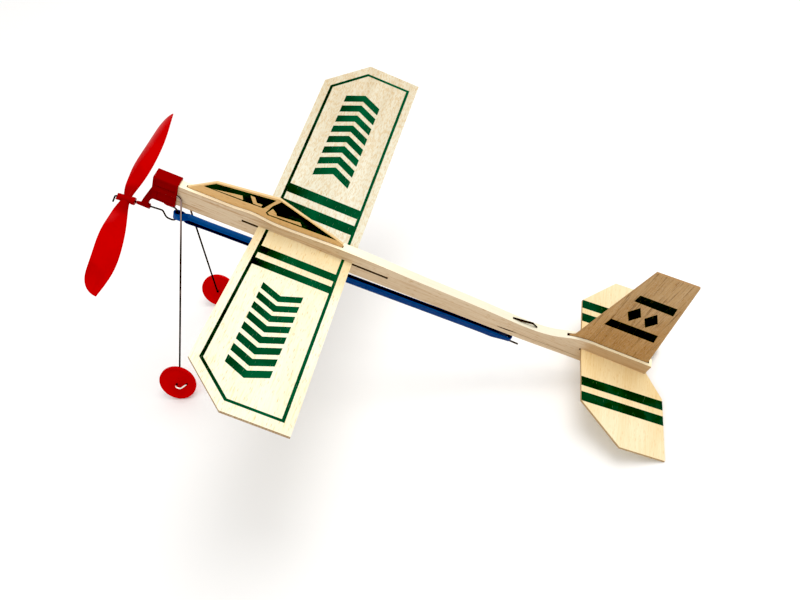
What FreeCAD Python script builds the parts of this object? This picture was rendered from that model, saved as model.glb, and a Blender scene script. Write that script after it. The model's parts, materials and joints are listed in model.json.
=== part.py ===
import FreeCAD, Part
import math
import os

# Rubber band powered balsa model plane, standing tail-down on its wheels and tailplane tip.
#
# Every piece is drawn in the plane's own level frame, in millimetres:
#   X runs forward to the propeller, Y to the left wing tip, Z up.
#   The origin is on the stick's centre plane, midway along the wing's chord, where the
#   line of the wing panels' upper faces meets the side of the stick.
# At the end the whole plane is pitched nose-up until its wheels and the lower corner of
# the tailplane tip share one level floor, and moved so that the origin is on that floor
# under the middle of the plane.

os.makedirs("parts", exist_ok=True)
V = FreeCAD.Vector

# ---- sheets and stick -------------------------------------------------------------
sheet = 1.6                 # thickness of every balsa sheet piece
slot_gap = 0.1              # play on each side of a sheet in its slot, wing only
groove_width = 1.7          # width of the grooves that hold the upright sheets
stick_width = 6.35          # quarter inch strip
stick_front = 98.0          # end of the strip inside the nose bearing
stick_rear = -236.2         # tail end of the strip

# ---- wing -------------------------------------------------------------------------
wing_chord = 63.5           # two and a half inch sheet
wing_span = 304.8           # twelve inches, tip to tip as it stands
wing_top = 2.05             # upper face of the flat middle that sits in the slot
dihedral = 12.6             # rise of each panel, degrees
panel_root_y = 3.16         # where the line of a panel's upper face crosses Z = 0
flat_half = 5.3             # half width of the flat middle
corner_y = 125.8            # where the raked front corner starts
tip_front_x = 5.9           # front end of the straight tip edge
wing_slot_front = 42.75
wing_slot_rear = -56.5
slot_reach = 5.0            # half width of the cutter that opens the slots, wider than the stick

# ---- tail -------------------------------------------------------------------------
tail_top = 7.2              # upper face of the tailplane
tail_skew = 4.7             # the tailplane sits turned in its slot by this, degrees
tail_pivot_x = -213.75
tail_slot_front = -189.4
fin_groove_front = -177.9
fin_groove_rear = -234.2
fin_groove_floor = 10.2
fin_front = -179.4
fin_rear = -233.4
canopy_groove_front = 81.0
canopy_groove_rear = -22.6
canopy_groove_floor = 4.4
canopy_front = 80.6
canopy_rear = -22.2
slit_depth = 2.2            # blind cut in the left side of the stick

# ---- thrust line ------------------------------------------------------------------
hub_x = 117.3               # middle of the blade roots
hub_z = -24.1
down_thrust = 6.5           # thrust line points below the stick's line, degrees
shaft_radius = 0.55
bearing_bore = 0.63

# ---- propeller --------------------------------------------------------------------
blade_radius = 67.1
blade_turn = 69.7           # rest angle of the first blade from straight up, degrees
blade_pitch = 365.0         # advance per turn, sets the twist
blade_rake = 2.6            # how far the tips lean back
root_radius = 9.0           # the twist stays the same inside this radius
hub_radius = 2.3
hub_rear = -4.8
hub_front = 7.7
collar_radius = 2.6         # thicker ring at the rear end of the hub
collar_front = -2.2
notch_depth = 1.3

# ---- nose bearing -----------------------------------------------------------------
cap_rear = 85.4
cap_front = 101.4
cap_half = 4.5
cap_top = 10.3
cap_bottom = -9.8
cap_wall = 1.2
panel_depth = 0.4           # shallow recesses in the cap's sides
rib_radius = 1.55           # half-round rib over each gear wire
web_half = 1.3
tube_rear = -14.8           # along the thrust line from the hub
tube_length = 8.8
tube_rear_radius = 1.85
tube_front_radius = 1.1

# ---- undercarriage ----------------------------------------------------------------
gear_radius = 0.6
gear_arm_y = 3.95
gear_arm_z = 0.9
wheel_radius = 13.5
wheel_rim = 2.6             # width of the rolling edge
wheel_hub = 4.2             # length of the wheel's hub along its axle
wheel_lean = 21.0           # both wheels lean the same way, degrees
left_wheel = V(51.5, 46.1, -140.6)
right_wheel = V(55.0, -46.1, -142.4)
axle_bore = 0.68
axle_inner = 3.7            # axle length from the wheel's middle to the leg
axle_outer = 5.6            # and to the turned-up end

# ---- rubber motor and its hook ----------------------------------------------------
ring_front = 90.9           # rounded hook on the propeller shaft
ring_rear = 84.6
ring_drop = 6.5             # the ring's lower and upper runs, measured from the thrust line
ring_rise = 5.8
hook_x = -147.0             # upright of the rear hook
hook_radius = 0.6
hook_toe_z = -15.2
hook_offset = 0.45          # the uprights stand off the middle of the loop's ends by this
rubber_rear_z = -13.4
rubber_width = 5.2          # height of the ribbon
rubber_thick = 1.1
rubber_pinch = 2.0          # height the ribbon loses where it is pulled round the rear hook
rubber_pinch_length = 13.0
rubber_eye = 1.3            # inside radius of the loop's ends


def upright(outline, half):
    """Solid from a closed X-Z outline, spread to both sides of the centre plane."""
    points = [V(x, -half, z) for x, z in outline]
    points.append(points[0])
    return Part.Face(Part.makePolygon(points)).extrude(V(0, 2 * half, 0))


def level(outline, bottom, top):
    """Solid from a closed X-Y outline between two heights."""
    points = [V(x, y, bottom) for x, y in outline]
    points.append(points[0])
    return Part.Face(Part.makePolygon(points)).extrude(V(0, 0, top - bottom))


def block(x0, x1, y0, y1, z0, z1):
    return Part.makeBox(x1 - x0, y1 - y0, z1 - z0, V(x0, y0, z0))


def curve(points):
    """One smooth edge through points of the centre plane."""
    spline = Part.BSplineCurve()
    spline.interpolate([V(x, 0, z) for x, z in points])
    return spline.toShape()


def line(start, end):
    return Part.makeLine(V(start[0], 0, start[1]), V(end[0], 0, end[1]))


def bent_rod(points, bends, radius):
    """Round wire along straight runs joined by arcs of the given bend radii."""
    edges = []
    start = points[0]
    for i in range(1, len(points) - 1):
        into = (points[i] - points[i - 1]).normalize()
        away = (points[i + 1] - points[i]).normalize()
        turn = into.getAngle(away)
        setback = bends[i - 1] * math.tan(turn / 2)
        first = points[i] - into * setback
        last = points[i] + away * setback
        middle = points[i] + (away - into).normalize() * bends[i - 1] * (1 / math.cos(turn / 2) - 1)
        edges.append(Part.makeLine(start, first))
        edges.append(Part.Arc(first, middle, last).toShape())
        start = last
    edges.append(Part.makeLine(start, points[-1]))
    path = Part.Wire(edges)
    ring = Part.Wire(Part.makeCircle(radius, points[0], points[1] - points[0]))
    return path.makePipeShell([ring], True, True)


def thrust_point(along, up=0.0):
    """Point of the centre plane given along and above the thrust line, from the hub."""
    tilt = math.radians(down_thrust)
    x = hub_x + along * math.cos(tilt) + up * math.sin(tilt)
    return V(x, 0, hub_z - along * math.sin(tilt) + up * math.cos(tilt))


def onto_thrust(shape):
    """Moves a solid drawn about its own X axis onto the thrust line."""
    shape.rotate(V(0, 0, 0), V(0, 1, 0), down_thrust)
    shape.translate(V(hub_x, 0, hub_z))
    return shape


# ---- stick fuselage ---------------------------------------------------------------
def stick_blank():
    """Side shape: deep at the wing, waisted behind the rear hook, stepped up to the tail."""
    back = [(84.0, 8.8), (60.0, 9.0), (47.0, 9.4), (39.0, 10.1), (32.0, 9.6), (25.5, 8.5),
            (18.0, 8.2), (4.0, 8.7), (-22.0, 10.1), (-38.0, 10.1), (-70.0, 9.1),
            (-118.0, 8.1), (-138.0, 7.2), (-152.0, 6.8), (-163.0, 7.5), (-172.0, 9.6),
            (-181.0, 13.2), (-190.0, 15.1), (-200.0, 15.3)]
    belly = [(84.0, -8.0), (20.0, -7.5), (-60.0, -7.1), (-120.0, -6.5), (-165.0, -5.5),
             (-185.0, -4.5), (-200.0, -4.2)]
    edges = [
        line((stick_front, -8.0), (stick_front, 8.8)),
        line((stick_front, 8.8), back[0]),
        curve(back),
        line(back[-1], (stick_rear, 16.0)),
        line((stick_rear, 16.0), (stick_rear, -2.8)),
        line((stick_rear, -2.8), belly[-1]),
        curve(belly),
        line(belly[0], (stick_front, -8.0)),
    ]
    side = Part.Face(Part.Wire(Part.__sortEdges__(edges)))
    side.translate(V(0, -stick_width / 2, 0))
    return side.extrude(V(0, stick_width, 0))


def side_slit():
    """Narrow blind cut in the left side beside the rear hook, pointed at both ends."""
    rear = V(-149.4, 0, -1.8)
    front = V(-133.6, 0, -2.7)
    low = Part.Arc(rear, V(-141.6, 0, -2.9), front).toShape()
    high = Part.Arc(front, V(-141.6, 0, -1.8), rear).toShape()
    face = Part.Face(Part.Wire([low, high]))
    face.translate(V(0, stick_width / 2 - slit_depth, 0))
    return face.extrude(V(0, 2 * slit_depth, 0))


def fuselage_stick():
    side = groove_width / 2
    wing_bottom = wing_top - sheet
    cuts = [
        block(wing_slot_rear, wing_slot_front, -slot_reach, slot_reach,
              wing_bottom - slot_gap, wing_top + slot_gap),
        block(canopy_groove_rear, canopy_groove_front, -side, side, canopy_groove_floor, 20),
        block(fin_groove_rear, fin_groove_front, -side, side, fin_groove_floor, 30),
        block(stick_rear - 1, tail_slot_front, -slot_reach, slot_reach, tail_top - sheet, tail_top),
        Part.makeCylinder(hook_radius, 30, V(hook_x, 0, -10)),
        side_slit(),
    ]
    return stick_blank().cut(cuts)


# ---- balsa sheet pieces -----------------------------------------------------------
def wing_side_points(drop):
    """Points of one panel's face in the Y-Z plane: middle, bend start, bend middle, bend end, tip."""
    rise = math.radians(dihedral)
    bend_y = panel_root_y + wing_top / math.tan(rise)
    setback = bend_y - flat_half
    radius = setback / math.tan(rise / 2)
    centre_z = wing_top + radius
    reach = radius + drop
    tip_y = wing_span / 2
    tip_z = (tip_y - panel_root_y) * math.tan(rise)
    return [
        (0.0, wing_top - drop),
        (flat_half, wing_top - drop),
        (flat_half + reach * math.sin(rise / 2), centre_z - reach * math.cos(rise / 2)),
        (flat_half + reach * math.sin(rise), centre_z - reach * math.cos(rise)),
        (tip_y + drop * math.sin(rise), tip_z - drop * math.cos(rise)),
    ]


def wing_half_section(side):
    upper = [V(0, side * y, z) for y, z in wing_side_points(0.0)]
    lower = [V(0, side * y, z) for y, z in wing_side_points(sheet)]
    edges = [
        Part.makeLine(upper[0], upper[1]),
        Part.Arc(upper[1], upper[2], upper[3]).toShape(),
        Part.makeLine(upper[3], upper[4]),
        Part.makeLine(upper[4], lower[4]),
        Part.makeLine(lower[4], lower[3]),
        Part.Arc(lower[3], lower[2], lower[1]).toShape(),
        Part.makeLine(lower[1], lower[0]),
        Part.makeLine(lower[0], upper[0]),
    ]
    return Part.Face(Part.Wire(Part.__sortEdges__(edges)))


def main_wing():
    """One sheet passed through the stick, both panels bent up, front tip corners raked."""
    halves = []
    for side in (1, -1):
        face = wing_half_section(side)
        face.translate(V(-wing_chord / 2, 0, 0))
        panel = face.extrude(V(wing_chord, 0, 0))
        slope = (wing_chord / 2 - tip_front_x) / (wing_span / 2 - corner_y)
        far_y = wing_span / 2 + 10
        far_x = tip_front_x - 10 * slope
        rake = [
            (wing_chord / 2 + 5 * slope, side * (corner_y - 5)),
            (far_x, side * far_y),
            (wing_chord, side * far_y),
            (wing_chord, side * (corner_y - 5)),
        ]
        halves.append(panel.cut(level(rake, -10, 60)))
    return halves[0].fuse(halves[1]).removeSplitter()


def tailplane():
    """Swept tailplane, pushed in from behind and turned a little in its slot."""
    left = [(-190.3, 0.0), (-190.3, 5.0), (-190.9, 40.9), (-216.5, 66.4), (-247.4, 66.4),
            (-247.9, 21.0), (-237.2, 4.2)]
    right = [(x, -y) for x, y in reversed(left[1:])]
    plate = level(left + right, tail_top - sheet, tail_top)
    plate.rotate(V(tail_pivot_x, 0, 0), V(0, 0, 1), tail_skew)
    return plate


def tail_fin():
    """Upright fin with a tab down into the groove behind the step of the stick."""
    outline = [(fin_front, fin_groove_floor), (fin_front, 12.6), (-182.3, 14.6), (-196.2, 89.6),
               (-223.2, 91.4), (fin_rear, 16.4), (fin_rear, fin_groove_floor)]
    return upright(outline, sheet / 2)


def canopy_panel():
    """Flat cockpit silhouette with a tab down into the groove in front of and over the wing."""
    outline = [(canopy_front, canopy_groove_floor), (canopy_front, 9.0), (63.5, 22.6), (23.6, 29.4),
               (-15.5, 15.6), (canopy_rear, 12.4), (canopy_rear, canopy_groove_floor)]
    return upright(outline, sheet / 2)


# ---- wire undercarriage and wheels ------------------------------------------------
def lean_axis():
    """Shared direction of both axles, pointing left and up."""
    lean = math.radians(wheel_lean)
    return V(0, math.cos(lean), math.sin(lean))


def gear_points(side):
    """Corners of one leg, from the front bar inside the nose bearing to the turned-up end."""
    axis = lean_axis()
    up = V(0, -axis.z, axis.y)
    centre = left_wheel if side > 0 else right_wheel
    out = axis * side
    bend_x = 82.4 if side > 0 else 84.0
    return [
        V(stick_front + 0.9, 0, gear_arm_z),
        V(stick_front + 0.9, side * gear_arm_y, gear_arm_z),
        V(bend_x, side * gear_arm_y, gear_arm_z),
        centre - out * axle_inner,
        centre + out * axle_outer,
        centre + out * axle_outer + V(-3.8, 0, 0),
        centre + out * axle_outer + V(-7.3, 0, 0) + up * 6.4,
    ]


def gear_rod(radius):
    """The whole undercarriage wire, or the channel it lies in when drawn thicker."""
    bends = [1.3, 4.0, 1.2, 1.6, 2.5]
    left = gear_points(1)
    right = gear_points(-1)
    halves = [bent_rod(left, bends, radius), bent_rod(right, bends, radius)]
    return halves[0].fuse(halves[1]).removeSplitter()


def landing_gear_wire():
    return gear_rod(gear_radius)


def wheel(centre):
    """Thin moulded disc with shallow dished faces and a short hub, turned about the axle."""
    half_rim = wheel_rim / 2
    half_hub = wheel_hub / 2
    profile = [
        V(axle_bore, 0, -half_hub),
        V(2.3, 0, -half_hub),
        V(2.6, 0, -1.5),
        V(wheel_radius - 2.4, 0, -0.9),
        V(wheel_radius - 1.6, 0, -half_rim),
        V(wheel_radius - 0.5, 0, -half_rim),
        V(wheel_radius, 0, -half_rim + 0.5),
    ]
    mirrored = [V(p.x, 0, -p.z) for p in reversed(profile)]
    corners = profile + mirrored
    corners.append(profile[0])
    disc = Part.Face(Part.makePolygon(corners)).revolve(V(0, 0, 0), V(0, 0, 1), 360)
    disc.rotate(V(0, 0, 0), V(1, 0, 0), wheel_lean - 90)
    disc.translate(centre)
    return disc


# ---- nose bearing -----------------------------------------------------------------
def nose_bearing():
    """Moulded cap over the front of the stick, with a web down to the tapered bearing tube."""
    length = cap_front - cap_rear
    shell = block(cap_rear, cap_front, -cap_half, cap_half, cap_bottom, cap_top)
    long_edges = [e for e in shell.Edges if abs(e.BoundBox.YLength) < 0.1 and e.BoundBox.XLength > 5]
    shell = shell.makeFillet(0.9, long_edges)
    body = [
        Part.makeCylinder(rib_radius, length - 0.8, V(cap_rear, side * gear_arm_y, gear_arm_z), V(1, 0, 0))
        for side in (1, -1)
    ]
    body.append(upright([(100.5, 3.0), (cap_front, 0.5), (102.9, -4.1), (107.6, -17.5), (108.6, -21.0),
                         (103.7, -21.0), (103.6, -17.6), (102.2, -14.4), (98.0, -9.2), (98.0, -6.0)],
                        web_half))
    body.append(upright([(86.0, -8.6), (92.4, -8.6), (92.4, cap_bottom), (90.2, -10.3), (87.6, -10.1),
                         (86.0, -9.2)], cap_half))
    tube = Part.makeCone(tube_rear_radius, tube_front_radius, tube_length, V(tube_rear, 0, 0), V(1, 0, 0))
    body.append(onto_thrust(tube))
    inner = cap_half - cap_wall
    cuts = [
        block(cap_rear - 5, cap_front - 1.6, -inner, inner, -8.1, 8.9),
        onto_thrust(Part.makeCylinder(bearing_bore, 30, V(-25.0, 0, 0), V(1, 0, 0))),
        gear_rod(gear_radius + 0.04),
    ]
    for side in (1, -1):
        low_y, high_y = sorted((side * (cap_half - panel_depth), side * (cap_half + 2)))
        cuts.append(block(cap_rear + 1.3, cap_front - 1.3, low_y, high_y, 3.2, 8.4))
        cuts.append(block(cap_rear + 1.3, cap_front - 3.4, low_y, high_y, -8.2, -1.4))
    return shell.fuse(body).cut(cuts).removeSplitter()


# ---- propeller and its shaft ------------------------------------------------------
def blade_section(part_of_radius, lead, trail, thick, camber):
    """Thin curved section across the blade, set at the angle the pitch gives there."""
    radius = blade_radius * part_of_radius
    angle = math.atan(blade_pitch / (2 * math.pi * max(radius, root_radius)))
    along = V(math.sin(angle), -math.cos(angle), 0)
    out = V(math.cos(angle), math.sin(angle), 0)
    base = V(-blade_rake * part_of_radius ** 2, 0, radius)
    middle = base + along * (lead - trail) / 2
    front = base + along * lead
    rear = base - along * trail
    face = Part.Arc(front, middle + out * (camber + thick / 2), rear).toShape()
    back = Part.Arc(rear, middle + out * (camber - thick / 2), front).toShape()
    return Part.Wire([face, back])


def blade():
    """Broad twisted blade, widest past half of the radius, its swept tip ending in a point."""
    stations = [
        (0.02, 4.0, 1.7, 2.8, 0.0),
        (0.06, 4.6, 2.1, 2.6, 0.1),
        (0.12, 5.7, 3.1, 2.2, 0.3),
        (0.20, 6.5, 4.6, 1.9, 0.5),
        (0.35, 7.9, 7.0, 1.6, 0.9),
        (0.50, 8.3, 8.6, 1.4, 1.1),
        (0.65, 8.0, 9.3, 1.3, 1.2),
        (0.80, 7.9, 8.2, 1.2, 1.0),
        (0.92, 6.5, 6.1, 1.0, 0.6),
        (0.97, 3.9, 5.0, 0.8, 0.3),
        (1.00, -1.2, 4.4, 0.6, 0.05),
    ]
    sections = [blade_section(*station) for station in stations]
    return Part.makeLoft(sections, True, False)


def propeller():
    """Two blades on a collared hub with a driving notch in its front end."""
    first = blade()
    second = first.copy()
    second.rotate(V(0, 0, 0), V(1, 0, 0), 180)
    hub = Part.makeCylinder(hub_radius, hub_front - hub_rear, V(hub_rear, 0, 0), V(1, 0, 0))
    collar = Part.makeCylinder(collar_radius, collar_front - hub_rear, V(hub_rear, 0, 0), V(1, 0, 0))
    collar = collar.makeFillet(0.5, [e for e in collar.Edges if e.BoundBox.XLength < 0.1])
    solid = hub.fuse([collar, first, second])
    notch = block(hub_front - notch_depth, hub_front + 5, 0, 8, -8, 8)
    solid = solid.cut([Part.makeCylinder(shaft_radius, 40, V(-20, 0, 0), V(1, 0, 0)), notch])
    solid = solid.removeSplitter()
    solid.rotate(V(0, 0, 0), V(1, 0, 0), blade_turn)
    return onto_thrust(solid)


def propeller_shaft():
    """Wire with a turned-down front tip, a bend behind the bearing and a rounded hook."""
    axis_z = thrust_point(ring_rear - hub_x).z
    points = [
        thrust_point(hub_front + 1.4, -3.1) + V(0, 3.1, 0),
        thrust_point(hub_front + 1.0),
        thrust_point(-23.4),
        V(ring_front, 0, axis_z - ring_drop),
        V(ring_rear, 0, axis_z - ring_drop),
        V(ring_rear, 0, axis_z + ring_rise),
        V(ring_front - 1.0, 0, axis_z + ring_rise),
    ]
    bends = [1.1, 1.6, 3.0, 3.2, 3.2]
    return bent_rod(points, bends, shaft_radius)


# ---- rubber motor and rear hook ---------------------------------------------------
def rubber_motor():
    """Flat ribbon loop, one strand each side of the centre plane, round both hooks."""
    front_x = ring_rear - hook_offset
    front_z = thrust_point(ring_rear - hub_x).z
    rear_x = hook_x + hook_offset
    run = front_x - rear_x
    slope = math.degrees(math.atan2(front_z - rubber_rear_z, run))
    length = math.hypot(run, front_z - rubber_rear_z)
    loops = []
    for reach in (rubber_eye + rubber_thick, rubber_eye):
        start = V(0, reach, 0)
        end = V(length, reach, 0)
        edges = [
            Part.makeLine(start, end),
            Part.Arc(end, V(length + reach, 0, 0), V(length, -reach, 0)).toShape(),
            Part.makeLine(V(length, -reach, 0), V(0, -reach, 0)),
            Part.Arc(V(0, -reach, 0), V(-reach, 0, 0), start).toShape(),
        ]
        loops.append(Part.Face(Part.Wire(edges)).extrude(V(0, 0, rubber_width)))
    band = loops[0].cut(loops[1])
    band.translate(V(0, 0, -rubber_width / 2))
    low = -rubber_width / 2
    behind = -2 * (rubber_eye + rubber_thick)
    trim = upright([(behind, low - 1), (behind, low + rubber_pinch), (0, low + rubber_pinch),
                    (rubber_pinch_length, low), (rubber_pinch_length, low - 1)], -behind)
    band = band.cut(trim)
    band.rotate(V(0, 0, 0), V(0, 1, 0), -slope)
    band.translate(V(rear_x, 0, rubber_rear_z))
    return band


def motor_hook():
    """Metal hook: a bent strip on the stick's back, an upright through it, a toe under the rubber."""
    corners = [V(hook_x, 0, 7.2), V(hook_x, 0, hook_toe_z), V(-154.8, 0, hook_toe_z - 0.2)]
    rod = bent_rod(corners, [1.2], hook_radius)
    crest = upright([(-141.4, 7.1), (-141.4, 7.35), (-154.6, 9.5), (-158.6, 7.3), (-158.6, 7.05),
                     (-154.8, 8.8), (-147.0, 7.2)], hook_radius)
    return rod.fuse(crest).removeSplitter()


# ---- standing on the floor --------------------------------------------------------
def floor_pitch():
    """Nose-up angle at which the left wheel and the left tailplane tip touch one floor."""
    skew = math.radians(tail_skew)
    arm_x = -247.4 - tail_pivot_x
    tip_x = tail_pivot_x + arm_x * math.cos(skew) - 66.4 * math.sin(skew)
    tip_z = tail_top - sheet
    lean = math.sin(math.radians(wheel_lean))
    pitch = math.radians(28.0)
    for _ in range(20):
        tilt = lean * math.cos(pitch)
        drop = wheel_radius * math.sqrt(1 - tilt ** 2) + (wheel_rim / 2 - 0.5) * tilt
        rise = left_wheel.z * math.cos(pitch) - drop - tip_z * math.cos(pitch)
        pitch = math.asin(-rise / (left_wheel.x - tip_x))
    return math.degrees(pitch)


def build():
    nodes = {
        "fuselage_stick": fuselage_stick(),
        "main_wing": main_wing(),
        "tailplane": tailplane(),
        "tail_fin": tail_fin(),
        "canopy_panel": canopy_panel(),
        "landing_gear_wire": landing_gear_wire(),
        "wheel_left": wheel(left_wheel),
        "wheel_right": wheel(right_wheel),
        "nose_bearing": nose_bearing(),
        "propeller": propeller(),
        "propeller_shaft": propeller_shaft(),
        "rubber_motor": rubber_motor(),
        "motor_hook": motor_hook(),
    }
    pitch = floor_pitch()
    for shape in nodes.values():
        shape.rotate(V(0, 0, 0), V(0, 1, 0), -pitch)
    box = Part.makeCompound(list(nodes.values())).optimalBoundingBox(False, False)
    shift = V(-(box.XMin + box.XMax) / 2, -(box.YMin + box.YMax) / 2, -box.ZMin)
    for shape in nodes.values():
        shape.translate(shift)
    return nodes


for node_name, node_shape in build().items():
    node_shape.exportStep("parts/" + node_name + ".step")
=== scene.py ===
import json
import math

import bpy
from mathutils import Matrix, Quaternion, Vector


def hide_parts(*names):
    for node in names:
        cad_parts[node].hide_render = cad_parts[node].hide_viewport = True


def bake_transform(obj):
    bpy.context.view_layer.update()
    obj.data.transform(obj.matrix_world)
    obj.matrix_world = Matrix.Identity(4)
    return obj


# A rubber band powered balsa model plane, standing on its wheels and one tailplane tip.
#
# Two frames are used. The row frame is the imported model's: metres, Z up, the floor at 0.
# The plane frame is the level plane's own: millimetres, x forward along the stick, y to
# the left wing tip, z up, with the origin in the stick at the middle of the wing.

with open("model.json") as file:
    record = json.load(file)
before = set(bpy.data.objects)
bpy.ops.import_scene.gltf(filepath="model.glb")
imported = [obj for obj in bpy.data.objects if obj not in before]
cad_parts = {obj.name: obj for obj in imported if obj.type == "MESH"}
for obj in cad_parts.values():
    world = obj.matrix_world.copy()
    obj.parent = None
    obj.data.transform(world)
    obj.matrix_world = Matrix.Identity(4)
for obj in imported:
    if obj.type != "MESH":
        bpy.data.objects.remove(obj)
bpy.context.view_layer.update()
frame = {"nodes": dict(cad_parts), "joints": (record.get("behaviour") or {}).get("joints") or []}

MM = 0.001


# ---- the plane frame --------------------------------------------------------------
LEFT_WHEEL = Vector((51.5, 46.1, -140.6))       # a point whose place is known in both frames
HUB = (117.3, 0.0, -24.1)                       # middle of the propeller's hub


def joint(name):
    return next(j for j in frame["joints"] if j["name"] == name)


def plane_frame():
    """(pitch, origin): the nose-up angle and the plane frame's origin in the row frame."""
    forward = joint("wing_slide")["axis"]
    pitch = math.atan2(forward[2], forward[0])
    turned = Matrix.Rotation(-pitch, 3, "Y") @ LEFT_WHEEL
    return pitch, Vector(joint("wheel_left_spin")["pos_m"]) - turned * MM


PITCH, ORIGIN = plane_frame()
TO_ROW = Matrix.Translation(ORIGIN) @ Matrix.Rotation(-PITCH, 4, "Y") @ Matrix.Scale(MM, 4)
TO_PLANE = TO_ROW.inverted()


def plane_box(node):
    """(lowest corner, highest corner) of a CAD node in the plane frame."""
    corners = [TO_PLANE @ v.co for v in frame["nodes"][node].data.vertices]
    low = Vector([min(c[i] for c in corners) for i in range(3)])
    high = Vector([max(c[i] for c in corners) for i in range(3)])
    return low, high


# ---- arithmetic on material sockets -----------------------------------------------
class Term:
    """A number that varies over a surface. Arithmetic on terms adds Math nodes to the material."""

    def __init__(self, tree, socket):
        self.tree = tree
        self.socket = socket

    def math(self, operation, *others):
        node = self.tree.nodes.new("ShaderNodeMath")
        node.operation = operation
        for i, value in enumerate((self,) + others):
            if isinstance(value, Term):
                self.tree.links.new(value.socket, node.inputs[i])
            else:
                node.inputs[i].default_value = value
        return Term(self.tree, node.outputs[0])

    def __add__(self, other):
        return self.math("ADD", other)

    def __sub__(self, other):
        return self.math("SUBTRACT", other)

    def __mul__(self, other):
        return self.math("MULTIPLY", other)

    def __neg__(self):
        return self.math("MULTIPLY", -1.0)

    def size(self):
        return self.math("ABSOLUTE")

    def least(self, other):
        return self.math("MINIMUM", other)

    def most(self, other):
        return self.math("MAXIMUM", other)

    def repeat(self, length):
        return self.math("WRAP", length, 0.0)

    def ramp(self, low, high):
        """0 below low, 1 above high and smooth between them."""
        node = self.tree.nodes.new("ShaderNodeMapRange")
        node.interpolation_type = "SMOOTHSTEP"
        self.tree.links.new(self.socket, node.inputs["Value"])
        node.inputs["From Min"].default_value = low
        node.inputs["From Max"].default_value = high
        return Term(self.tree, node.outputs["Result"])


def band(term, low, high):
    """Distance inside a strip, negative outside."""
    return (term - low).least(-term + high)


def convex(u, v, corners):
    """Distance inside a convex outline, negative outside."""
    middle_u = sum(c[0] for c in corners) / len(corners)
    middle_v = sum(c[1] for c in corners) / len(corners)
    inside = None
    for (u0, v0), (u1, v1) in zip(corners, corners[1:] + corners[:1]):
        length = math.hypot(u1 - u0, v1 - v0)
        across_u = (v1 - v0) / length
        across_v = (u0 - u1) / length
        if across_u * (middle_u - u0) + across_v * (middle_v - v0) < 0:
            across_u, across_v = -across_u, -across_v
        edge = u * across_u + v * across_v - (across_u * u0 + across_v * v0)
        inside = edge if inside is None else inside.least(edge)
    return inside


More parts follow.
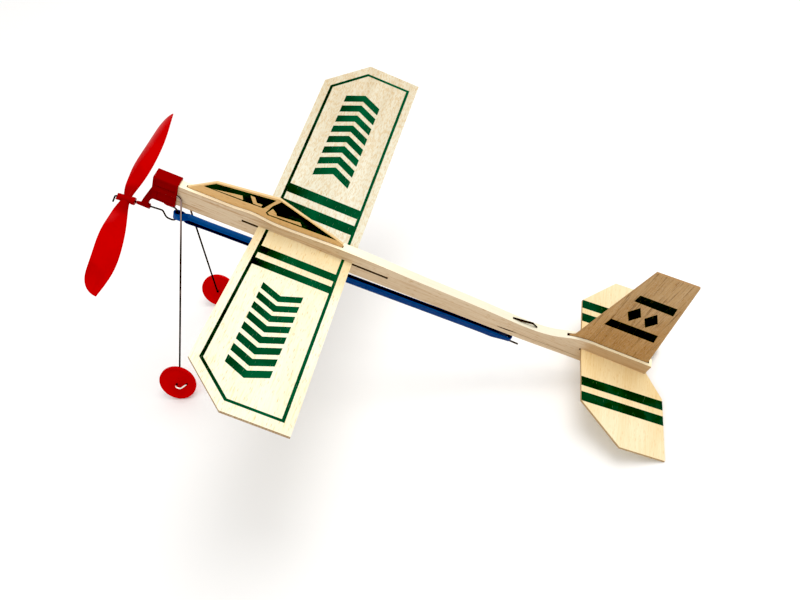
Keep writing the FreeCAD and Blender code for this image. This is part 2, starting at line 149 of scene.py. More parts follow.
class Finish:
    """A material under construction, with the surface's place and facing in the plane frame."""

    def __init__(self, name):
        self.material = bpy.data.materials.new(name)
        self.material.use_nodes = True
        self.tree = self.material.node_tree
        self.shader = self.tree.nodes["Principled BSDF"]
        place = self.tree.nodes.new("ShaderNodeTexCoord")
        level = self.tree.nodes.new("ShaderNodeMapping")
        level.vector_type = "TEXTURE"
        level.inputs["Location"].default_value = ORIGIN
        level.inputs["Rotation"].default_value = (0.0, -PITCH, 0.0)
        level.inputs["Scale"].default_value = (MM, MM, MM)
        self.tree.links.new(place.outputs["Object"], level.inputs["Vector"])
        self.place = level.outputs["Vector"]
        apart = self.tree.nodes.new("ShaderNodeSeparateXYZ")
        self.tree.links.new(self.place, apart.inputs[0])
        self.x, self.y, self.z = [Term(self.tree, out) for out in apart.outputs]
        facing = self.tree.nodes.new("ShaderNodeVectorRotate")
        facing.rotation_type = "Y_AXIS"
        facing.inputs["Angle"].default_value = PITCH
        self.tree.links.new(place.outputs["Normal"], facing.inputs["Vector"])
        faces = self.tree.nodes.new("ShaderNodeSeparateXYZ")
        self.tree.links.new(facing.outputs[0], faces.inputs[0])
        self.face_x, self.face_y, self.face_z = [Term(self.tree, out) for out in faces.outputs]

    def stretched(self, scale, turn=(0.0, 0.0, 0.0)):
        """The place with each axis scaled, to stretch a pattern along the grain."""
        node = self.tree.nodes.new("ShaderNodeMapping")
        node.inputs["Rotation"].default_value = turn
        node.inputs["Scale"].default_value = scale
        self.tree.links.new(self.place, node.inputs["Vector"])
        return node.outputs["Vector"]

    def noise(self, scale, detail=2.0, rough=0.5, turn=(0.0, 0.0, 0.0), warp=0.0):
        node = self.tree.nodes.new("ShaderNodeTexNoise")
        node.inputs["Scale"].default_value = 1.0
        node.inputs["Detail"].default_value = detail
        node.inputs["Roughness"].default_value = rough
        node.inputs["Distortion"].default_value = warp
        self.tree.links.new(self.stretched(scale, turn), node.inputs["Vector"])
        return Term(self.tree, node.outputs["Fac"])

    def cells(self, scale, turn=(0.0, 0.0, 0.0)):
        """(distance, random): how far each point is from its cell's middle, and the cell's number."""
        node = self.tree.nodes.new("ShaderNodeTexVoronoi")
        node.inputs["Scale"].default_value = 1.0
        self.tree.links.new(self.stretched(scale, turn), node.inputs["Vector"])
        apart = self.tree.nodes.new("ShaderNodeSeparateColor")
        self.tree.links.new(node.outputs["Color"], apart.inputs[0])
        return Term(self.tree, node.outputs["Distance"]), Term(self.tree, apart.outputs[0])

    def distance(self, point):
        """Distance from a point of the plane frame, in millimetres."""
        node = self.tree.nodes.new("ShaderNodeVectorMath")
        node.operation = "DISTANCE"
        self.tree.links.new(self.place, node.inputs[0])
        node.inputs[1].default_value = point
        return Term(self.tree, node.outputs["Value"])

    def mix(self, amount, first, second, blend="MIX"):
        """A colour between two colours, each a socket or three numbers."""
        node = self.tree.nodes.new("ShaderNodeMix")
        node.data_type = "RGBA"
        node.blend_type = blend
        if isinstance(amount, Term):
            self.tree.links.new(amount.socket, node.inputs[0])
        else:
            node.inputs[0].default_value = amount
        for place, colour in ((6, first), (7, second)):
            if isinstance(colour, tuple):
                node.inputs[place].default_value = colour + (1.0,)
            else:
                self.tree.links.new(colour, node.inputs[place])
        return node.outputs[2]

    def set(self, name, value):
        if isinstance(value, Term):
            self.tree.links.new(value.socket, self.shader.inputs[name])
        elif isinstance(value, tuple):
            self.shader.inputs[name].default_value = value + (1.0,)
        elif isinstance(value, (int, float)):
            self.shader.inputs[name].default_value = value
        else:
            self.tree.links.new(value, self.shader.inputs[name])

    def bump(self, height, depth, strength=1.0):
        """Relief of the given depth in millimetres."""
        node = self.tree.nodes.new("ShaderNodeBump")
        node.inputs["Strength"].default_value = strength
        node.inputs["Distance"].default_value = depth * MM
        self.tree.links.new(height.socket, node.inputs["Height"])
        self.tree.links.new(node.outputs[0], self.shader.inputs["Normal"])


# ---- balsa ------------------------------------------------------------------------
GREEN_INK = ((0.0004, 0.0080, 0.0025), (0.0006, 0.088, 0.034))      # dark, then bright
TAIL_INK = ((0.0006, 0.022, 0.007), (0.0015, 0.105, 0.048))
BLACK_INK = ((0.011, 0.014, 0.010), (0.012, 0.022, 0.016))
INK_EDGE = 0.12                 # half the width over which the ink fades out
INK_RAGGED = 0.5                # how far the fibres pull that edge in and out, from end to end
WOOD_RELIEF = 0.06              # depth of the fibres and pores
WOOD_SHINE = 0.07


def along_grain(grain, along, across, rise=1.0):
    """Scale of a pattern for each axis, stretched along the grain axis.

    rise shrinks the scale upward, so that the pattern stays long on a sheet set at an angle.
    """
    scale = [across, across, across * rise]
    scale["xyz".index(grain)] = along
    return tuple(scale)


def ink_layer(f, inside, grain, rise, inks, tone):
    """(cover, colour, speckle) of the ink inside a printed shape.

    tone(finish), where there is one, gives a painted sheen that brightens the ink from place to place.
    """
    ragged = f.noise(along_grain(grain, 0.9, 3.2, rise), 3.0, 0.6) * INK_RAGGED - INK_RAGGED / 2
    cover = (inside + ragged).ramp(-INK_EDGE, INK_EDGE)
    cloud = f.noise((0.07, 0.06, 0.07), 2.0, 0.5)
    speckle = f.noise(along_grain(grain, 0.7, 1.8, rise), 3.0, 0.7)
    lift = speckle.ramp(0.5, 0.8) * 0.35 + cloud.ramp(0.35, 0.7) * 0.3
    if tone:
        # painted sheen on the ink
        lift = lift + tone(f) * 0.6
    return cover, f.mix(lift.least(1.0), *inks), speckle


def balsa(name, grain, pale, tan, streaks, pores=0.6, rise=1.0, tint=None, flat="z", cut=None,
          printed=None, inks=GREEN_INK, tone=None, specks=0.0):
    """Balsa with fibres along the grain axis, short pores and, where asked for, cut edges and ink.

    The wood runs between the colours pale and tan. streaks and pores say how strongly its fibres
    and pores show, and rise is that of along_grain. tint(finish, colour, broad) changes the bare
    wood from place to place, where broad is its slow change along the grain. flat is the axis
    square to the sheet: faces square to another axis take the colour cut. printed(finish) gives
    the distance inside the printed shapes, inks and tone are those of ink_layer, and specks says
    how much bare wood shows through the ink.
    """
    f = Finish(name)
    broad = f.noise(along_grain(grain, 0.012, 0.09, rise), 2.0, 0.5)
    fibre = f.noise(along_grain(grain, 0.06, 1.6, rise), 4.0, 0.62, warp=0.2)
    fine = f.noise(along_grain(grain, 0.35, 4.5, rise), 2.0, 0.6)
    distance, chance = f.cells(along_grain(grain, 0.2, 1.25, rise))
    pore = distance.ramp(0.36, 0.16) * chance.ramp(0.5, 0.8)
    colour = f.mix(broad.ramp(0.3, 0.7) * 0.45 + fibre.ramp(0.35, 0.7) * 0.4 * streaks, pale, tan)
    dark = tuple(c * k for c, k in zip(tan, (0.80, 0.62, 0.42)))
    colour = f.mix(pore * (pores * streaks), colour, dark)
    colour = f.mix(fine.ramp(0.52, 0.8) * (0.3 * streaks), colour, dark)
    if tint:
        colour = tint(f, colour, broad)
    if cut:
        facing = {"x": f.face_x, "y": f.face_y, "z": f.face_z}[flat].size()
        scorch = fine.ramp(0.2, 0.75) * 0.5 + 0.5
        colour = f.mix(facing.ramp(0.75, 0.5) * scorch, colour, cut)
    roughness = fibre * 0.25 + 0.55
    if printed:
        cover, ink, speckle = ink_layer(f, printed(f), grain, rise, inks, tone)
        worn = pore * 0.08 + speckle.ramp(0.70, 0.88) * specks
        colour = f.mix(cover * (-worn + 1.0), colour, ink)
        roughness = roughness - cover * 0.12
    f.set("Base Color", colour)
    f.set("Roughness", roughness)
    f.set("Specular IOR Level", WOOD_SHINE)
    f.bump(fibre * 0.7 + fine * 0.4 - pore * 0.6, WOOD_RELIEF, 0.6)
    return f.material


# ---- the wing's wood ----------------------------------------------------------------
WING_WOOD = ((0.85, 0.82, 0.66), (0.80, 0.71, 0.49))
WING_ROOT_TINT = (0.94, 0.80, 0.58)          # all tints multiply the wood's colour
WING_FLECK_TINT = (0.93, 0.79, 0.50)
WING_DASH_TINT = (0.86, 0.68, 0.36)
WING_RIGHT_TINT = (0.84, 0.88, 0.95)
WING_MOTTLE_TINT = (0.88, 0.72, 0.54)
WING_TIP_TINT = (0.82, 0.74, 0.66)


def wing_painted_sheen(f):
    """Painted sheen: the wing's ink is drawn brightest behind the middle of the chord."""
    return f.x.ramp(23.0, 0.0)


def wing_tint(f, colour, broad):
    """The left panel is cream and darkens toward the stick; the right panel is tan and mottled."""
    root = f.y.ramp(52.0, 6.0) * f.y.ramp(-6.0, 3.0)
    colour = f.mix(root * 0.8, colour, WING_ROOT_TINT, "MULTIPLY")
    left = f.y.ramp(-2.0, 4.0)
    flecks = f.noise((0.9, 0.06, 0.07), 3.0, 0.7)
    colour = f.mix(flecks.ramp(0.54, 0.68) * left * 0.5, colour, WING_FLECK_TINT, "MULTIPLY")
    distance, chance = f.cells((0.72, 0.085, 0.05), (0.0, 0.0, 0.06))
    dashes = distance.ramp(0.30, 0.12) * chance.ramp(0.35, 0.6)
    colour = f.mix(dashes * left * 0.5, colour, WING_DASH_TINT, "MULTIPLY")
    right = f.y.ramp(2.0, -8.0)
    colour = f.mix(right * (broad.ramp(0.35, 0.65) * 0.2 + 0.7), colour, WING_RIGHT_TINT, "MULTIPLY")
    mottle = f.noise((1.0, 0.33, 0.08), 3.0, 0.7, warp=0.2)
    colour = f.mix(right * mottle.ramp(0.46, 0.60) * 0.7, colour, WING_MOTTLE_TINT, "MULTIPLY")
    outer = f.y.ramp(-10.0, -150.0)
    return f.mix(outer * (broad.ramp(0.3, 0.6) * 0.2 + 0.7), colour, WING_TIP_TINT, "MULTIPLY")


# ---- the stick's wood ---------------------------------------------------------------
STICK_WOOD = ((0.69, 0.55, 0.38), (0.56, 0.41, 0.26))
STICK_REAR = (0.52, 0.36, 0.20)              # sides under the fin
STICK_BACK = (0.76, 0.71, 0.56)
STICK_BACK_FRONT = (0.96, 0.86, 0.64)
# painted light: the back beside the fin, brightened against the fin's shade
STICK_BACK_REAR_PAINTED_LIGHT = (0.98, 0.88, 0.62)
STICK_SLOT_SHADE = (0.060, 0.026, 0.012)           # painted shade in a slot or groove
STICK_LINE = (0.20, 0.12, 0.06)
STICK_VEIN_TINT = (0.70, 0.53, 0.40)
REAR_BLEND = (-186.0, -196.0)                # x over which the rear colours come in
# x over which the painted light beside the fin comes in
BACK_REAR_LIGHT_BLEND = (-186.0, -200.0)
BACK_FRONT_BLEND = (-75.0, -25.0)

SLOT_HALF = 3.12                             # half the stick's width, less a hair
STICK_SLOTS = (                              # x and z of each opening in the sides
    ((-57.0, 43.0), (0.2, 2.3)),             # for the wing
    ((-240.0, -189.0), (5.5, 7.3)),          # for the tailplane
    ((-149.6, -133.4), (-3.0, -1.7)),        # a knife cut near the rear hook
)
STICK_GROOVES = (                            # x, half width and floor of each groove on top
    ((-22.8, 81.2), 1.05, 4.0),              # for the cockpit sheet
    ((-234.4, -177.7), 1.15, 9.0),           # for the fin
)

GRAIN_LINE_X = (-193.0, -134.0)              # one long dark line of grain on the rear sides
GRAIN_LINE_FRONT = (-134.5, -2.3)            # x and z where it starts
GRAIN_LINE_SLOPE = 0.021
GRAIN_LINE_HALF = (0.36, 0.10)               # half widths of its soft edge and of its core
GRAIN_LINE_WANDER = 0.6


def stick_openings(f):
    """Distance inside the slots and grooves, negative outside."""
    middle = -f.y.size()
    inside = None
    for reach_x, reach_z in STICK_SLOTS:
        slot = band(f.z, *reach_z).least(band(f.x, *reach_x)).least(middle + SLOT_HALF)
        inside = slot if inside is None else inside.most(slot)
    for reach_x, half, floor_z in STICK_GROOVES:
        inside = inside.most(band(f.x, *reach_x).least(middle + half).least(f.z - floor_z))
    return inside


def grain_line(f):
    """Strength of the dark line on the rear sides."""
    front_x, front_z = GRAIN_LINE_FRONT
    wander = f.noise((0.12, 0.0, 0.0), 2.0, 0.5) * GRAIN_LINE_WANDER
    height = f.z + (f.x - front_x) * GRAIN_LINE_SLOPE - front_z + wander - GRAIN_LINE_WANDER / 2
    return height.size().ramp(*GRAIN_LINE_HALF) * band(f.x, *GRAIN_LINE_X).ramp(0.0, 4.0)


def stick_tint(f, colour, _):
    """The back of the stick is paler than its sides and has painted light beside the fin; slots and
    grooves have painted shade inside.
    """
    colour = f.mix(f.x.ramp(*REAR_BLEND) * 0.85, colour, STICK_REAR)
    back = f.face_z.ramp(0.4, 0.8)
    colour = f.mix(back, colour, STICK_BACK)
    colour = f.mix(back * f.x.ramp(*BACK_FRONT_BLEND), colour, STICK_BACK_FRONT)
    # painted light on the back beside the fin
    colour = f.mix(back * f.x.ramp(*BACK_REAR_LIGHT_BLEND), colour, STICK_BACK_REAR_PAINTED_LIGHT)
    # painted shade inside the slots and grooves
    colour = f.mix(stick_openings(f).ramp(-0.03, 0.05) * 0.9, colour, STICK_SLOT_SHADE)
    colour = f.mix(grain_line(f) * 0.75, colour, STICK_LINE)
    veins = f.noise((0.030, 0.5, 1.15), 3.0, 0.7)
    veins = veins.ramp(0.53, 0.63) * (-back * 0.8 + 1.0) * (f.x.ramp(-80.0, 60.0) * 0.35 + 0.35)
    return f.mix(veins, colour, STICK_VEIN_TINT, "MULTIPLY")


# ---- the fin's, tailplane's and cockpit sheet's wood --------------------------------
FIN_WOOD = ((0.53, 0.35, 0.18), (0.40, 0.235, 0.10))
FIN_FOOT_TINT = (0.94, 0.80, 0.60)
FIN_LINE = (0.17, 0.095, 0.042)
FIN_GRIT = (0.62, 0.50, 0.38)
TAIL_WOOD = ((0.84, 0.74, 0.51), (0.76, 0.60, 0.34))
TAIL_ROOT_TINT = (1.0, 0.88, 0.68)
CANOPY_WOOD = ((0.80, 0.53, 0.25), (0.66, 0.40, 0.17))
EDGE_BROWN = (0.33, 0.19, 0.085)             # toasted edge of a die-cut sheet
EDGE_TAN = (0.70, 0.52, 0.28)


def fin_tint(f, colour, _):
    """Broken dark grain lines up the fin, and a warmer foot."""
    colour = f.mix(f.z.ramp(70.0, 25.0) * 0.6, colour, FIN_FOOT_TINT, "MULTIPLY")
    lines = f.noise((1.25, 0.5, 0.045), 3.0, 0.65, (0.0, 0.16, 0.0))
    colour = f.mix(lines.ramp(0.53, 0.68) * 0.8, colour, FIN_LINE)
    grit = f.noise((1.6, 1.6, 1.1), 2.0, 0.6)
    return f.mix(grit.ramp(0.5, 0.75) * 0.35, colour, FIN_GRIT)


def tail_tint(f, colour, _):
    """The tailplane is warmest beside the stick."""
    return f.mix(f.y.size().ramp(52.0, 8.0) * 0.8, colour, TAIL_ROOT_TINT, "MULTIPLY")


# ---- printed shapes, millimetres in the plane frame --------------------------------
BORDER_WIDTH = 1.95
BORDER = {"front": 25.7, "rear": -25.6, "corner_y": 123.0, "tip_front": 5.1, "tip_y": 144.4}
STRIPES = ((18.0, 25.3), (30.8, 37.7))
STRIPE_FRONT = 26.0
STRIPE_REAR = -26.0
CHEVRON_FIRST_Y = 56.0
CHEVRON_LAST_Y = 130.0
CHEVRON_PITCH = 9.25
CHEVRON_STROKE = 5.8
CHEVRON_SWEEP = 0.5
CHEVRON_MIDDLE_X = 1.2
CHEVRON_HALF = 12.6
HAIR = 0.1                      # keeps the first chevron's edge whole
FACING_WEIGHT = 10.0            # millimetres of distance per unit of a face's direction


def on_top(f, inside):
    """Keeps a print to faces that look up."""
    return inside.least((f.face_z - 0.5) * FACING_WEIGHT)


def on_sides(f, inside):
    """Keeps a print to faces that look left or right."""
    return inside.least((f.face_y.size() - 0.5) * FACING_WEIGHT)


def wing_print(f):
    """Border line with two chordwise stripes and a row of chevrons on each panel."""
    y = f.y.size()
    frame_line = band(f.x, BORDER["rear"], BORDER["front"])
    frame_line = frame_line.least(-y + BORDER["tip_y"])
    run = BORDER["front"] - BORDER["tip_front"]
    rise = BORDER["tip_y"] - BORDER["corner_y"]
    length = math.hypot(run, rise)
    rake = (f.x - BORDER["front"]) * (-rise / length) - (y - BORDER["corner_y"]) * (run / length)
    border = -(frame_line.least(rake).size()) + BORDER_WIDTH / 2
    stripes = band(y, *STRIPES[0]).most(band(y, *STRIPES[1]))
    stripes = stripes.least(band(f.x, STRIPE_REAR, STRIPE_FRONT))
    swept = y + (f.x - CHEVRON_MIDDLE_X).size() * CHEVRON_SWEEP
    step = (swept - CHEVRON_FIRST_Y).repeat(CHEVRON_PITCH)
    chevrons = band(step, 0.0, CHEVRON_STROKE)
    chevrons = chevrons.least(band(swept, CHEVRON_FIRST_Y - HAIR, CHEVRON_LAST_Y))
    chevrons = chevrons.least(band(f.x, CHEVRON_MIDDLE_X - CHEVRON_HALF, CHEVRON_MIDDLE_X + CHEVRON_HALF))
    return on_top(f, border.most(stripes).most(chevrons))


TAIL_PIVOT_X = -213.75
TAIL_SKEW = math.radians(4.7)
TAIL_STRIPES = ((22.5, 29.5), (34.0, 41.1))


def tail_print(f):
    """Two chordwise stripes on each half, square to the tailplane, which sits skewed."""
    y = (f.x - TAIL_PIVOT_X) * -math.sin(TAIL_SKEW) + f.y * math.cos(TAIL_SKEW)
    y = y.size()
    return on_top(f, band(y, *TAIL_STRIPES[0]).most(band(y, *TAIL_STRIPES[1])))


FIN_BARS = (
    [(-197.0, 62.3), (-197.5, 68.6), (-221.9, 69.6), (-223.1, 62.7)],
    [(-192.2, 34.2), (-193.2, 41.1), (-225.1, 42.3), (-226.3, 35.0)],
)
FIN_DIAMOND_X = (-203.2, -214.6)
FIN_DIAMOND_Z = 51.9
FIN_DIAMOND_HALF = (4.6, 7.2)
FIN_DIAMOND_SLANT = 0.8         # distance from its middle to a side, in half widths


def fin_print(f):
    """Two slanted bars with a pair of upright diamonds between them."""
    inside = convex(f.x, f.z, FIN_BARS[0]).most(convex(f.x, f.z, FIN_BARS[1]))
    half_x, half_z = FIN_DIAMOND_HALF
    for middle in FIN_DIAMOND_X:
        reach = (f.x - middle).size() * (1.0 / half_x) + (f.z - FIN_DIAMOND_Z).size() * (1.0 / half_z)
        inside = inside.most((-reach + 1.0) * (half_x * FIN_DIAMOND_SLANT))
    return on_sides(f, inside)


FRONT_WINDOW = [(70.8, 15.5), (63.5, 21.5), (25.4, 27.4), (32.3, 16.2), (45.0, 15.9), (66.2, 14.7)]
FRONT_GLINT = [(64.5, 16.1), (46.3, 20.3), (45.3, 16.9)]
SEAT_BACK = [(41.6, 23.2), (38.6, 23.2), (35.9, 17.4), (38.8, 17.2)]
SEAT_BASE = [(37.6, 17.2), (37.8, 19.0), (33.0, 19.4), (33.6, 17.3)]
REAR_WINDOW = [(22.3, 28.0), (-17.4, 14.1), (28.4, 12.3), (29.9, 13.8), (26.9, 21.4)]
REAR_GLINTS = (
    [(25.4, 20.9), (28.9, 14.3), (27.4, 13.2), (22.5, 13.5), (22.0, 15.5), (23.6, 17.0)],
    [(22.6, 13.5), (6.0, 14.4), (7.8, 17.0), (22.6, 14.9)],
)


def canopy_print(f):
    """Two dark windows with pale glints, and the shape of a seat in the front one."""
    front = convex(f.x, f.z, FRONT_WINDOW)
    for hole in (FRONT_GLINT, SEAT_BACK, SEAT_BASE):
        front = front.least(-convex(f.x, f.z, hole))
    rear = convex(f.x, f.z, REAR_WINDOW)
    for hole in REAR_GLINTS:
        rear = rear.least(-convex(f.x, f.z, hole))
    return on_sides(f, front.most(rear))


# ---- plastic, wire and rubber ------------------------------------------------------
PROPELLER_RED = ((0.50, 0.0018, 0.003), (0.41, 0.0012, 0.002))
HUB_RED = (0.30, 0.001, 0.001)
HUB_RADIUS = 7.0
CORE_FADE = 1.9                 # radii from its middle at which a thick core's colour is gone
WHEEL_RED = ((0.56, 0.0015, 0.002), (0.46, 0.001, 0.0015))
NOSE_RED = ((0.26, 0.001, 0.001), (0.20, 0.0008, 0.0008))

GEAR_STEEL = ((0.40, 0.30, 0.27), (0.020, 0.012, 0.010))       # bright steel for patchy film and the painted highlight, then tarnished
DARK_STEEL = ((0.09, 0.07, 0.06), (0.012, 0.009, 0.008))
AXLE_END_Y = 49.6
# painted highlight on the curled axle ends
AXLE_END_HIGHLIGHT = (0.95, 0.90, 0.84)
STEEL_GRAZING = (0.16, 0.13, 0.12)                             # tint of grazing reflections

# Colour, dusty colour, colour toward the nose and the x between which that comes in.
RUBBER_BLUE = ((0.0004, 0.030, 0.150), (0.0015, 0.062, 0.235), (0.0010, 0.066, 0.270), (-25.0, 45.0))
# painted shade for the inner faces, lower edges and the right strand, lighter near the front hook
RUBBER_PAINTED_SHADE = ((0.0002, 0.0030, 0.042), (0.0004, 0.008, 0.070), (0.0006, 0.030, 0.130), (72.0, 80.0))
# painted highlight for the outer corners
RUBBER_PAINTED_HIGHLIGHT = ((0.004, 0.100, 0.320), (0.020, 0.180, 0.480), (0.004, 0.110, 0.360), (-25.0, 45.0))


def red_plastic(name, colour, deep, core=None):
    """Moulded polyethylene with a faint flow pattern and fine scuffs.

    core is (point, radius, colour) for the thick middle of a moulding, which lets less light
    through than its thin parts.
    """
    f = Finish(name)
    flow = f.noise((0.05, 0.05, 0.05), 3.0, 0.55, warp=0.6)
    grain = f.noise((1.9, 1.9, 1.9), 3.0, 0.6)
    scuff = f.noise((0.5, 0.12, 2.2), 4.0, 0.7)
    red = f.mix(flow.ramp(0.3, 0.75), colour, deep)
    if core:
        point, radius, thick = core
        red = f.mix(f.distance(point).ramp(radius * CORE_FADE, radius), red, thick)
    f.set("Base Color", red)
    f.set("Roughness", flow * 0.16 + scuff.ramp(0.5, 0.8) * 0.12 + 0.30)
    f.set("Specular IOR Level", 0.10)
    f.bump(grain * 0.35 + flow * 2.0, 0.03, 0.5)
    return f.material


def steel_wire(name, colour, tarnish, end_highlight=None):
    """Drawn steel wire, dark with patchy temper film, and with a painted highlight high up on faces that
    look left.

    A last argument, where given, is (distance from the centre plane, colour) of a painted highlight on
    the wire's ends beyond it.
    """
    f = Finish(name)
    film = f.noise((0.11, 0.11, 0.11), 3.0, 0.6)
    drawn = f.noise((0.3, 6.0, 6.0), 2.0, 0.5)
    # painted highlight high up on faces that look left
    painted_highlight = f.z.ramp(-40.0, -4.0) * f.face_y.ramp(0.2, 0.8)
    # patchy film and the painted highlight together
    worn = (film.ramp(0.52, 0.7) * 0.3 + painted_highlight).least(1.0)
    steel = f.mix(worn, tarnish, colour)
    if end_highlight:
        # painted highlight on the wire's ends
        apart, bright = end_highlight
        steel = f.mix(f.y.size().ramp(apart, apart + 0.4) * f.face_z.ramp(-0.6, 0.2), steel, bright)
    f.set("Base Color", steel)
    f.set("Metallic", 1.0)
    f.set("Specular Tint", STEEL_GRAZING)
    f.set("Roughness", film * 0.25 + drawn * 0.12 + 0.16)
    f.bump(drawn + film, 0.012, 0.5)
    return f.material


def blue_rubber(name, colour, dusty, front, reach):
    """Sliced strip rubber: satin faces with talc dust and fine knife lines.

    The colour turns into front between the two places of reach, along the plane.
    """
    f = Finish(name)
    dust = f.noise((0.3, 0.9, 0.9), 4.0, 0.65)
    knife = f.noise((0.04, 3.0, 3.0), 2.0, 0.5)
    blue = f.mix(dust.ramp(0.4, 0.8) * 0.6, colour, dusty)
    f.set("Base Color", f.mix(f.x.ramp(*reach), blue, front))
    f.set("Roughness", dust * 0.25 + 0.28)
    f.set("Specular IOR Level", 0.2)
    f.bump(knife + dust * 0.5, 0.03, 0.6)
    return f.material


# ---- finishes of the CAD nodes -----------------------------------------------------
def paint(node, material):
    """Gives a CAD node its finish."""
    for held in frame["nodes"][node].material_slots:
        held.material = material


def wooden_parts():
    paint("main_wing", balsa("balsa_wing", "y", *WING_WOOD, 0.9, pores=0.7, rise=0.08, tint=wing_tint,
                             cut=EDGE_BROWN, printed=wing_print, tone=wing_painted_sheen))
    paint("tailplane", balsa("balsa_tailplane", "y", *TAIL_WOOD, 1.2, pores=0.35, tint=tail_tint,
                             cut=EDGE_BROWN, printed=tail_print, inks=TAIL_INK, specks=0.2))
    paint("tail_fin", balsa("balsa_fin", "z", *FIN_WOOD, 1.3, tint=fin_tint, flat="y",
                            cut=EDGE_BROWN, printed=fin_print, inks=BLACK_INK))
    paint("canopy_panel", balsa("balsa_canopy", "x", *CANOPY_WOOD, 1.2, flat="y", cut=EDGE_TAN,
                                printed=canopy_print, specks=0.3))
    paint("fuselage_stick", balsa("balsa_stick", "x", *STICK_WOOD, 1.1, tint=stick_tint))


def plastic_parts():
    paint("propeller", red_plastic("red_plastic", *PROPELLER_RED, core=(HUB, HUB_RADIUS, HUB_RED)))
    wheel_red = red_plastic("red_plastic_wheel", *WHEEL_RED)
    for name in ("wheel_left", "wheel_right"):
        paint(name, wheel_red)
    paint("nose_bearing", red_plastic("red_plastic_nose", *NOSE_RED))


def wire_parts():
    paint("landing_gear_wire", steel_wire("steel_wire", *GEAR_STEEL, (AXLE_END_Y, AXLE_END_HIGHLIGHT)))
    dark_wire = steel_wire("steel_wire_dark", *DARK_STEEL)
    for name in ("propeller_shaft", "motor_hook"):
        paint(name, dark_wire)


# ---- the rubber motor --------------------------------------------------------------
RUBBER_STEP = 1.5               # length of one division along the strands
HOOK_STEPS = 10                 # divisions of the half turn round each hook
RUBBER_WIDTH = 5.2
RUBBER_THICK = 1.1
RUBBER_SOFT = 0.18              # how far the corners are cut back
RUBBER_WAIST = 0.92             # part of the thickness left between the pulled-in faces
RUBBER_EYE = 1.3                # inside radius round each hook
RUBBER_REACH = RUBBER_EYE + RUBBER_THICK / 2    # from a hook's middle to the middle of the strip
RUBBER_SLACK = 1.25             # half the distance between the strands' middles
RUBBER_GATHER = (2.0, 22.0)     # distance from each hook over which the strands close up
RUBBER_LAY = math.radians(90.0)     # the loop lies over by this behind the front hook
LAY_FRONT = (1.0, 9.0)          # distance from the front hook over which it lies over
LAY_REAR = (62.0, 122.0)        # and over which it stands up again
RUBBER_PINCH = 0.38             # part of its height the ribbon loses round the rear hook
RUBBER_PINCH_LENGTH = 13.0
RUBBER_ROOM = 0.3               # play ahead of the front hook, which tilts in the loop as it turns
RUBBER_HELD = 9.0               # length of loop beside each hook; the points it gives are computed and not used

# Sides of the strip's section, counted from its upper outer corner.
SHADED_SIDES = (3, 4, 5, 6, 7)  # inner face, lower inner corner and lower edge
HIGHLIGHT_SIDES = (0, 8)              # outer corners, which get a painted highlight
OUTER_SIDES = (9, 10, 11)       # outer face


def piece(name, verts, faces, material, smooth=True):
    """A mesh piece from points in the row frame."""
    mesh = bpy.data.meshes.new(name)
    mesh.from_pydata([tuple(v) for v in verts], [], faces)
    mesh.materials.append(material)
    mesh.polygons.foreach_set("use_smooth", [smooth] * len(mesh.polygons))
    mesh.update()
    ob = bpy.data.objects.new(name, mesh)
    bpy.context.scene.collection.objects.link(ob)
    return ob


def swept_faces(rings, around):
    """Faces of a closed tube of rings, joined end to end."""
    faces = []
    for i in range(rings):
        here = i * around
        ahead = ((i + 1) % rings) * around
        for j in range(around):
            k = (j + 1) % around
            faces.append((here + j, here + k, ahead + k, ahead + j))
    return faces


def ease(value, low, high):
    """0 below low, 1 above high and smooth between them."""
    t = min(max((value - low) / (high - low), 0.0), 1.0)
    return t * t * (3.0 - 2.0 * t)


def rubber_section():
    """(outward, up) corners of the cut strip: slightly pulled-in faces and soft corners."""
    half_w = RUBBER_WIDTH / 2
    half_t = RUBBER_THICK / 2
    soft = RUBBER_SOFT
    waist = half_t * RUBBER_WAIST
    return [
        (half_t, half_w - soft), (half_t - soft, half_w), (-half_t + soft, half_w),
        (-half_t, half_w - soft), (-waist, half_w * 0.5), (-waist, -half_w * 0.5),
        (-half_t, -half_w + soft), (-half_t + soft, -half_w), (half_t - soft, -half_w),
        (half_t, -half_w + soft), (waist, -half_w * 0.5), (waist, half_w * 0.5),
    ]


def lay_over(from_front):
    """How far the loop lies over, 0 to 1, at a distance behind the front hook."""
    return ease(from_front, *LAY_FRONT) * (1.0 - ease(from_front, *LAY_REAR))


def strand_offset(from_hook):
    """Distance of a strand from the loop's middle, at a distance from the nearer hook."""
    return RUBBER_REACH + (RUBBER_SLACK - RUBBER_REACH) * ease(from_hook, *RUBBER_GATHER)


def rubber_path(run, steps):
    """(along, off, angle) of each section: left strand, front hook, right strand, rear hook.

    along is measured from the rear hook, off is the distance to the left of the loop's middle,
    and angle is how far the strip has turned round the hooks.
    """
    path = []
    for i in range(steps):
        along = run * i / steps
        path.append((along, strand_offset(min(along, run - along)), 0.0))
    for i in range(HOOK_STEPS):
        angle = math.pi * i / HOOK_STEPS
        path.append((run + RUBBER_REACH * math.sin(angle), RUBBER_REACH * math.cos(angle), angle))
    for i in range(steps):
        along = run * (1 - i / steps)
        path.append((along, -strand_offset(min(along, run - along)), math.pi))
    for i in range(HOOK_STEPS):
        angle = math.pi * i / HOOK_STEPS
        path.append((-RUBBER_REACH * math.sin(angle), -RUBBER_REACH * math.cos(angle), math.pi + angle))
    return path


def rubber_ends():
    """(front end, rear end, forward), in the plane frame.

    The ends are the middles of the turns round the hooks, and forward is the loop's direction.
    """
    low, high = plane_box("rubber_motor")
    forward = (TO_PLANE.to_3x3() @ Vector(joint("motor_wind")["axis"])).normalized()
    front = TO_PLANE @ Vector(joint("motor_wind")["pos_m"])
    outer = RUBBER_REACH + RUBBER_THICK / 2
    front_end = front + forward * ((high.x - front.x - outer) / forward.x + RUBBER_ROOM)
    rear_end = front + forward * ((low.x - front.x + outer) / forward.x)
    return front_end, rear_end, forward


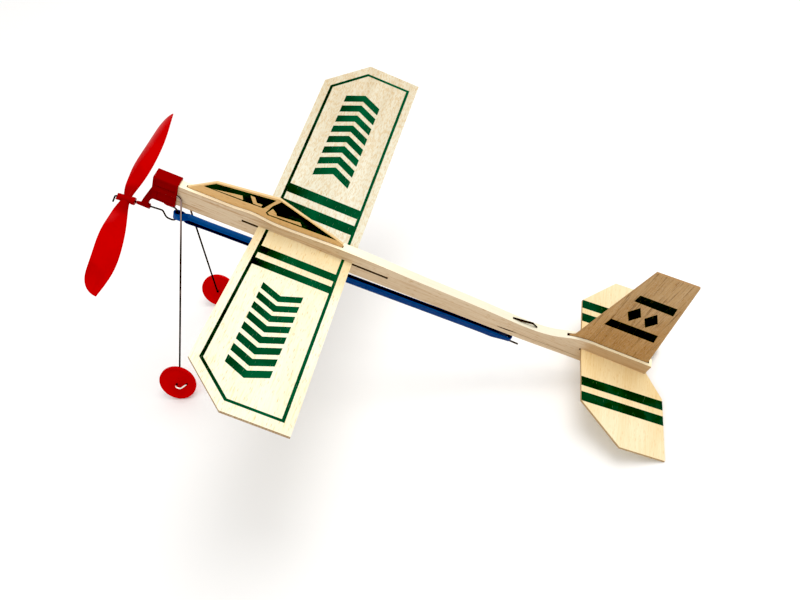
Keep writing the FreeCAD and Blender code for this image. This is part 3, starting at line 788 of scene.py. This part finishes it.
def rubber_loop():
    """The rubber motor: one closed strip, two strands that lie over behind the front hook."""
    front_end, rear_end, forward = rubber_ends()
    up = Vector((-forward.z, 0.0, forward.x))
    side = Vector((0.0, 1.0, 0.0))
    run = (front_end - rear_end).length
    steps = int(run / RUBBER_STEP)
    path = rubber_path(run, steps)
    section = rubber_section()
    verts = []
    for along, off, angle in path:
        roll = Matrix.Rotation(RUBBER_LAY * lay_over(run - along), 3, forward)
        pinch = RUBBER_PINCH * (1.0 - ease(along, 0.0, RUBBER_PINCH_LENGTH))
        centre = rear_end + forward * along + roll @ (side * off) + up * (pinch * RUBBER_WIDTH / 2)
        out = roll @ (side * math.cos(angle) + forward * math.sin(angle))
        for t, w in section:
            verts.append(TO_ROW @ (centre + out * t + roll @ (up * w * (1.0 - pinch))))
    faces = swept_faces(len(path), len(section))
    ob = piece("rubber_motor_strip", verts, faces, blue_rubber("blue_rubber", *RUBBER_BLUE))
    ob.data.materials.append(blue_rubber("blue_rubber_painted_shade", *RUBBER_PAINTED_SHADE))
    ob.data.materials.append(blue_rubber("blue_rubber_painted_highlight", *RUBBER_PAINTED_HIGHLIGHT))
    for polygon in ob.data.polygons:
        ring, edge = divmod(polygon.index, len(section))
        right_strand = steps + HOOK_STEPS <= ring < 2 * steps + HOOK_STEPS
        # painted shade on the inner faces and lower edges, and on all but the right strand's outer face
        if edge in SHADED_SIDES or (right_strand and edge not in OUTER_SIDES):
            polygon.material_index = 1
        # painted highlight on the outer corners, except on the right strand
        elif edge in HIGHLIGHT_SIDES:
            polygon.material_index = 2
    TO_ROW @ (front_end - forward * RUBBER_HELD)
    TO_ROW @ (rear_end + forward * RUBBER_HELD)
    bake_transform(ob)
    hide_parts("rubber_motor")


# ---- camera, light and floor -------------------------------------------------------
CAMERA_PLACE = Vector((-17.37, 359.80, 406.24))      # both in the plane frame
CAMERA_AIM = Vector((-69.72, 5.59, -11.25))
CAMERA_ROLL = math.radians(-13.52)
CAMERA_LENS = 37.963
SENSOR = 36.0
FLOOR_HALF = 9.0                                     # from here on in the row frame
FLOOR_WHITES = ((0.86, 0.86, 0.86), (0.89, 0.89, 0.89))
WORLD_STRENGTH = 0.92
WORLD_WHITE = (1.0, 0.99, 0.98, 1.0)
KEY_PLACE = Vector((-0.32, -0.22, 1.4))
KEY_AIM = Vector((0.0, 0.0, 0.05))
KEY_SIZE = 1.0
KEY_POWER = 10.5
KEY_WHITE = (1.0, 0.985, 0.96)
BLACK_LEVEL = 0.022


def camera():
    data = bpy.data.cameras.new("camera")
    data.sensor_width = SENSOR
    data.lens = CAMERA_LENS
    data.clip_start = 0.01
    ob = bpy.data.objects.new("camera", data)
    bpy.context.scene.collection.objects.link(ob)
    place = TO_ROW @ CAMERA_PLACE
    ob.location = place
    ob.rotation_mode = "QUATERNION"
    aim = (TO_ROW @ CAMERA_AIM - place).to_track_quat("-Z", "Y")
    ob.rotation_quaternion = aim @ Quaternion((0.0, 0.0, 1.0), CAMERA_ROLL)
    bpy.context.scene.camera = ob


def floor():
    f = Finish("floor_white")
    tone = f.noise((0.004, 0.004, 0.004), 2.0, 0.5)
    f.set("Base Color", f.mix(tone, *FLOOR_WHITES))
    f.set("Roughness", 0.8)
    f.set("Specular IOR Level", 0.1)
    h = FLOOR_HALF
    corners = [(-h, -h, 0.0), (h, -h, 0.0), (h, h, 0.0), (-h, h, 0.0)]
    ob = piece("studio_floor", corners, [(0, 1, 2, 3)], f.material, smooth=False)


def key_light():
    data = bpy.data.lights.new("key", "AREA")
    data.shape = "DISK"
    data.size = KEY_SIZE
    data.energy = KEY_POWER
    data.color = KEY_WHITE
    ob = bpy.data.objects.new("key", data)
    bpy.context.scene.collection.objects.link(ob)
    ob.location = KEY_PLACE
    ob.rotation_mode = "QUATERNION"
    ob.rotation_quaternion = (KEY_AIM - KEY_PLACE).to_track_quat("-Z", "Y")


def studio():
    scene = bpy.context.scene
    world = bpy.data.worlds.new("studio")
    scene.world = world
    world.use_nodes = True
    back = world.node_tree.nodes["Background"]
    back.inputs["Color"].default_value = WORLD_WHITE
    back.inputs["Strength"].default_value = WORLD_STRENGTH
    view = scene.view_settings
    view.view_transform = "Standard"
    view.use_curve_mapping = True
    view.curve_mapping.black_level = (BLACK_LEVEL, BLACK_LEVEL, BLACK_LEVEL)
    view.curve_mapping.update()


camera()
floor()
key_light()
studio()
wooden_parts()
plastic_parts()
wire_parts()
rubber_loop()
